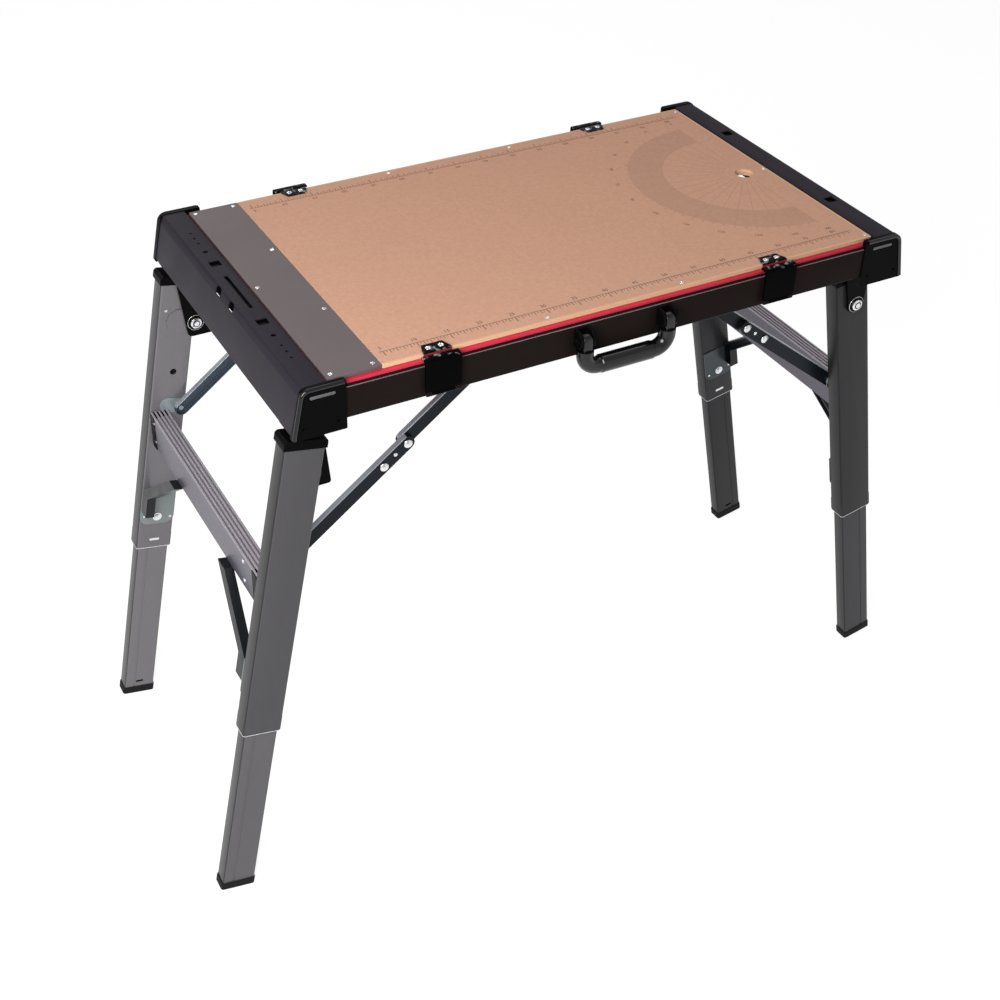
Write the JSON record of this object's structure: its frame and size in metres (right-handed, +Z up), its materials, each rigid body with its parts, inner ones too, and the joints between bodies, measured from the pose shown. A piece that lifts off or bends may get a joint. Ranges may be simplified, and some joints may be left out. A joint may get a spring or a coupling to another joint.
{
  "type": "folding work table",
  "caption": "Folding work table: a fibreboard top with a steel end plate on two hinged leg frames with telescoping legs, folding stays, step rungs and a carry handle.",
  "frame": {"origin": "on the floor, under the middle of the table's bounding box, with the legs open and fully extended", "axes": "+Z up; +X along the table's length, towards the end with the peg hole; the side with the carry handle faces -Y"},
  "size_m": [1.3112, 0.58, 0.902],
  "materials": {
    "fibreboard": "smooth tan fibreboard with printed scales",
    "steel_plate": "grey-brown satin paint",
    "red_panel": "red laminate on fibreboard, matt",
    "bronze_paint": "dark bronze satin paint",
    "hammered_paint": "grey paint with a fine hammered texture",
    "black_plastic": "black moulded plastic, fine grain",
    "handle_plastic": "black plastic, half gloss",
    "black_steel": "black satin paint",
    "grey_paint": "mid grey satin paint",
    "zinc": "clear zinc plating",
    "ribbed_aluminium": "extruded, ribbed on top",
    "black_rubber": "black rubber, matt"
  },
  "bodies": {
    "deck": {"worktop_board": "fibreboard", "steel_end_plate": "steel_plate", "red_deck_panel": "red_panel", "rail_front": "bronze_paint", "rail_back": "bronze_paint", "cross_member_left": "bronze_paint", "cross_member_middle": "bronze_paint", "cross_member_right": "bronze_paint", "end_cap_left": "hammered_paint", "end_cap_right": "hammered_paint", "corner_block_front_left": "black_plastic", "corner_block_front_right": "black_plastic", "corner_block_back_left": "black_plastic", "corner_block_back_right": "black_plastic", "hinge_ear_front_left": "black_steel", "hinge_ear_front_right": "black_steel", "hinge_ear_back_left": "black_steel", "hinge_ear_back_right": "black_steel", "handle_mount_left": "black_plastic", "handle_mount_right": "black_plastic", "clip_keeper_front_left": "black_steel", "clip_keeper_front_right": "black_steel", "clip_keeper_back_left": "black_steel", "clip_keeper_back_right": "black_steel"},
    "leg_frame_left": {"leg_upper_front_left": "grey_paint", "leg_upper_back_left": "grey_paint", "leg_top_cap_front_left": "black_plastic", "leg_top_cap_back_left": "black_plastic", "rung_left": "ribbed_aluminium", "rung_brace_front_left": "zinc", "rung_brace_back_left": "zinc"},
    "leg_frame_right": {"leg_upper_front_right": "grey_paint", "leg_upper_back_right": "grey_paint", "leg_top_cap_front_right": "black_plastic", "leg_top_cap_back_right": "black_plastic", "rung_right": "ribbed_aluminium", "rung_brace_front_right": "zinc", "rung_brace_back_right": "zinc"},
    "sliding_leg_front_left": {"leg_lower_front_left": "grey_paint", "foot_front_left": "black_rubber"},
    "sliding_leg_back_left": {"leg_lower_back_left": "grey_paint", "foot_back_left": "black_rubber"},
    "sliding_leg_front_right": {"leg_lower_front_right": "grey_paint", "foot_front_right": "black_rubber"},
    "sliding_leg_back_right": {"leg_lower_back_right": "grey_paint", "foot_back_right": "black_rubber"},
    "upper_link_front_left": {"stay_upper_front_left": "zinc"},
    "upper_link_back_left": {"stay_upper_back_left": "zinc"},
    "upper_link_front_right": {"stay_upper_front_right": "zinc"},
    "upper_link_back_right": {"stay_upper_back_right": "zinc"},
    "lower_link_front_left": {"stay_lower_front_left": "zinc"},
    "lower_link_back_left": {"stay_lower_back_left": "zinc"},
    "lower_link_front_right": {"stay_lower_front_right": "zinc"},
    "lower_link_back_right": {"stay_lower_back_right": "zinc"},
    "clip_front_left": {"clip_lever_front_left": "black_steel"},
    "clip_front_right": {"clip_lever_front_right": "black_steel"},
    "clip_back_left": {"clip_lever_back_left": "black_steel"},
    "clip_back_right": {"clip_lever_back_right": "black_steel"},
    "handle": {"carry_handle": "handle_plastic"}
  },
  "joints": [
    {"name": "fold_left", "type": "hinge", "parent": "deck", "child": "leg_frame_left", "pos_m": [-0.46035, 0.00675, 0.732], "axis": [0, -1, 0], "range_deg": [0, 95]},
    {"name": "fold_right", "type": "hinge", "parent": "deck", "child": "leg_frame_right", "pos_m": [0.46937, 0.00675, 0.759], "axis": [0, 1, 0], "range_deg": [0, 95]},
    {"name": "leg_slide_front_left", "type": "slide", "parent": "leg_frame_left", "child": "sliding_leg_front_left", "axis": [0.1857, 0, 0.9826], "range_m": [0, 0.26]},
    {"name": "leg_slide_back_left", "type": "slide", "parent": "leg_frame_left", "child": "sliding_leg_back_left", "axis": [0.1857, 0, 0.9826], "range_m": [0, 0.26]},
    {"name": "leg_slide_front_right", "type": "slide", "parent": "leg_frame_right", "child": "sliding_leg_front_right", "axis": [-0.2062, 0, 0.9785], "range_m": [0, 0.26]},
    {"name": "leg_slide_back_right", "type": "slide", "parent": "leg_frame_right", "child": "sliding_leg_back_right", "axis": [-0.2062, 0, 0.9785], "range_m": [0, 0.26]},
    {"name": "upper_link_front_left_turn", "type": "hinge", "parent": "deck", "child": "upper_link_front_left", "pos_m": [-0.18, -0.20745, 0.83], "axis": [0, -1, 0], "range_deg": [0, 95]},
    {"name": "upper_link_back_left_turn", "type": "hinge", "parent": "deck", "child": "upper_link_back_left", "pos_m": [-0.18, 0.22095, 0.83], "axis": [0, -1, 0], "range_deg": [0, 95]},
    {"name": "upper_link_front_right_turn", "type": "hinge", "parent": "deck", "child": "upper_link_front_right", "pos_m": [0.18, -0.16695, 0.83], "axis": [0, 1, 0], "range_deg": [0, 107]},
    {"name": "upper_link_back_right_turn", "type": "hinge", "parent": "deck", "child": "upper_link_back_right", "pos_m": [0.18, 0.18045, 0.83], "axis": [0, 1, 0], "range_deg": [0, 107]},
    {"name": "lower_link_front_left_turn", "type": "hinge", "parent": "leg_frame_left", "child": "lower_link_front_left", "pos_m": [-0.49938, -0.21645, 0.5865], "axis": [0, -1, 0], "range_deg": [-132, 0]},
    {"name": "lower_link_back_left_turn", "type": "hinge", "parent": "leg_frame_left", "child": "lower_link_back_left", "pos_m": [-0.49938, 0.22995, 0.5865], "axis": [0, -1, 0], "range_deg": [-132, 0]},
    {"name": "lower_link_front_right_turn", "type": "hinge", "parent": "leg_frame_right", "child": "lower_link_front_right", "pos_m": [0.48672, -0.17595, 0.5865], "axis": [0, 1, 0], "range_deg": [-138, 0]},
    {"name": "lower_link_back_right_turn", "type": "hinge", "parent": "leg_frame_right", "child": "lower_link_back_right", "pos_m": [0.48672, 0.18945, 0.5865], "axis": [0, 1, 0], "range_deg": [-138, 0]},
    {"name": "clip_front_left_turn", "type": "hinge", "parent": "deck", "child": "clip_front_left", "pos_m": [-0.284, -0.27325, 0.8475], "axis": [1, 0, 0], "range_deg": [0, 110]},
    {"name": "clip_front_right_turn", "type": "hinge", "parent": "deck", "child": "clip_front_right", "pos_m": [0.2645, -0.27325, 0.8475], "axis": [1, 0, 0], "range_deg": [0, 110]},
    {"name": "clip_back_left_turn", "type": "hinge", "parent": "deck", "child": "clip_back_left", "pos_m": [-0.271, 0.28675, 0.8475], "axis": [-1, 0, 0], "range_deg": [0, 110]},
    {"name": "clip_back_right_turn", "type": "hinge", "parent": "deck", "child": "clip_back_right", "pos_m": [0.271, 0.28675, 0.8475], "axis": [-1, 0, 0], "range_deg": [0, 110]},
    {"name": "handle_swing", "type": "hinge", "parent": "deck", "child": "handle", "pos_m": [0, -0.27825, 0.8715], "axis": [-1, 0, 0], "range_deg": [0, 95]}
  ],
  "couplings": [
    {"joint": "upper_link_front_left_turn", "follows": "fold_left", "ratio": 0.9957},
    {"joint": "upper_link_back_left_turn", "follows": "fold_left", "ratio": 0.9957},
    {"joint": "upper_link_front_right_turn", "follows": "fold_right", "ratio": 1.117},
    {"joint": "upper_link_back_right_turn", "follows": "fold_right", "ratio": 1.117},
    {"joint": "lower_link_front_left_turn", "follows": "fold_left", "ratio": -1.383},
    {"joint": "lower_link_back_left_turn", "follows": "fold_left", "ratio": -1.383},
    {"joint": "lower_link_front_right_turn", "follows": "fold_right", "ratio": -1.4415},
    {"joint": "lower_link_back_right_turn", "follows": "fold_right", "ratio": -1.4415}
  ]
}
